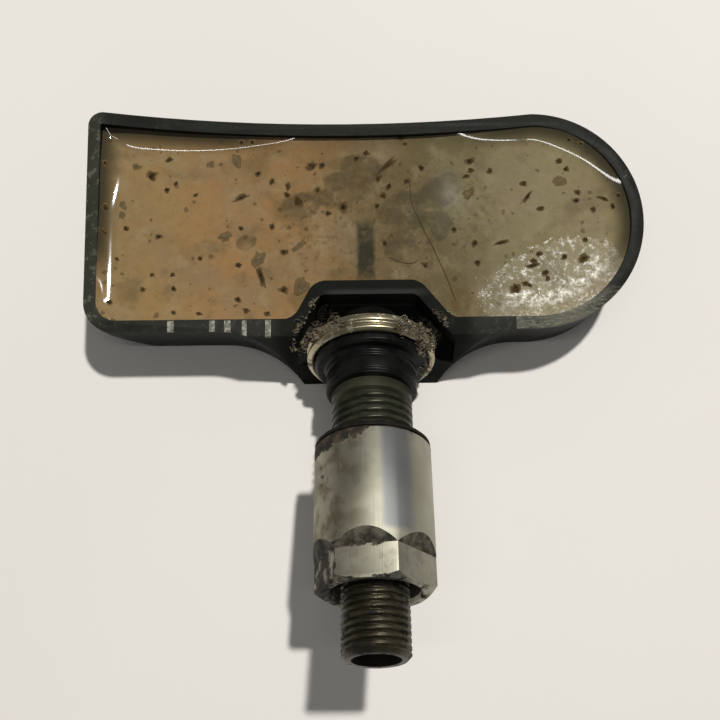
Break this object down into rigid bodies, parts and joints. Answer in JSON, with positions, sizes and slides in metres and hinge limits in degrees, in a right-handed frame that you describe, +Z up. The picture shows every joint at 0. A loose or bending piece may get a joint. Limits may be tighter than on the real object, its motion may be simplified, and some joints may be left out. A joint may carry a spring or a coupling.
{
  "type": "tyre pressure sensor",
  "caption": "Clamp-in tyre pressure sensor: potted black tray with an angled threaded valve stem, rubber grommet and long sleeve nut.",
  "frame": {"origin": "on the closed face that the tray rests on, straight below the middle of the stem's seat", "axes": "+X along the tray towards its round end, +Y towards the back wall, +Z up through the potted face; the stem leaves towards -Y and +Z"},
  "size_m": [0.0711, 0.0683, 0.0273],
  "materials": {
    "housing": "moulded, fine matt, scuffed at the round end",
    "potting": "cast resin, satin, tan with dark specks",
    "ring": "nickel-plated turned ring, dull",
    "grommet": "moulded rubber, slight sheen",
    "stem": "dark anodised, turned",
    "nut": "plated, satin with dirt at its edges",
    "washer": "plated, dull",
    "core_brass": "turned brass",
    "core_pin": "drawn brass wire",
    "seal_white": "smooth sealing ring",
    "seal_black": "moulded rubber",
    "spring": "drawn wire",
    "board": "lacquered laminate",
    "cell": "plated can",
    "tab": "plated strip",
    "chip": "moulded package",
    "gasket": "soft tube",
    "can": "plated can",
    "ferrite": "sintered, dull",
    "copper": "enamelled wire",
    "contact": "sprung strip",
    "capacitor": "small ceramic blocks",
    "resistor": "small ceramic blocks"
  },
  "bodies": {
    "sensor": {"housing": "housing", "potting": "potting", "seat_ring": "ring", "grommet": "grommet", "valve_stem": "stem", "core_body": "core_brass", "core_barrel_seal": "seal_white", "core_spring": "spring", "circuit_board": "board", "battery_cell": "cell", "battery_tab_top": "tab", "battery_tab_bottom": "tab", "pressure_sensor_chip": "chip", "port_gasket": "gasket", "transmitter_chip": "chip", "crystal_can": "can", "coil_core": "ferrite", "coil_winding": "copper", "antenna_contact": "contact", "capacitors": "capacitor", "resistors": "resistor"},
    "nut": {"clamp_nut": "nut"},
    "washer": {"thrust_washer": "washer"},
    "core_plunger": {"core_pin": "core_pin", "core_cup_seal": "seal_black"}
  },
  "joints": [
    {"name": "washer_slide", "type": "slide", "parent": "sensor", "child": "washer", "axis": [0, 0.9164, -0.4003], "range_m": [-0.008, 0.0068]},
    {"name": "nut_turn", "type": "hinge", "parent": "washer", "child": "nut", "pos_m": [0, -0.02199, 0.01781], "axis": [0, 0.9164, -0.4003], "range_deg": [-2890, 2457]},
    {"name": "core_press", "type": "slide", "parent": "sensor", "child": "core_plunger", "axis": [0, 0.9164, -0.4003], "range_m": [0, 0.0012], "stiffness_N_per_m": 300, "springref_m": -0.002, "deforming": ["core_spring"]}
  ],
  "couplings": [
    {"joint": "nut_turn", "follows": "washer_slide", "rad_per_m": 6283.2}
  ]
}
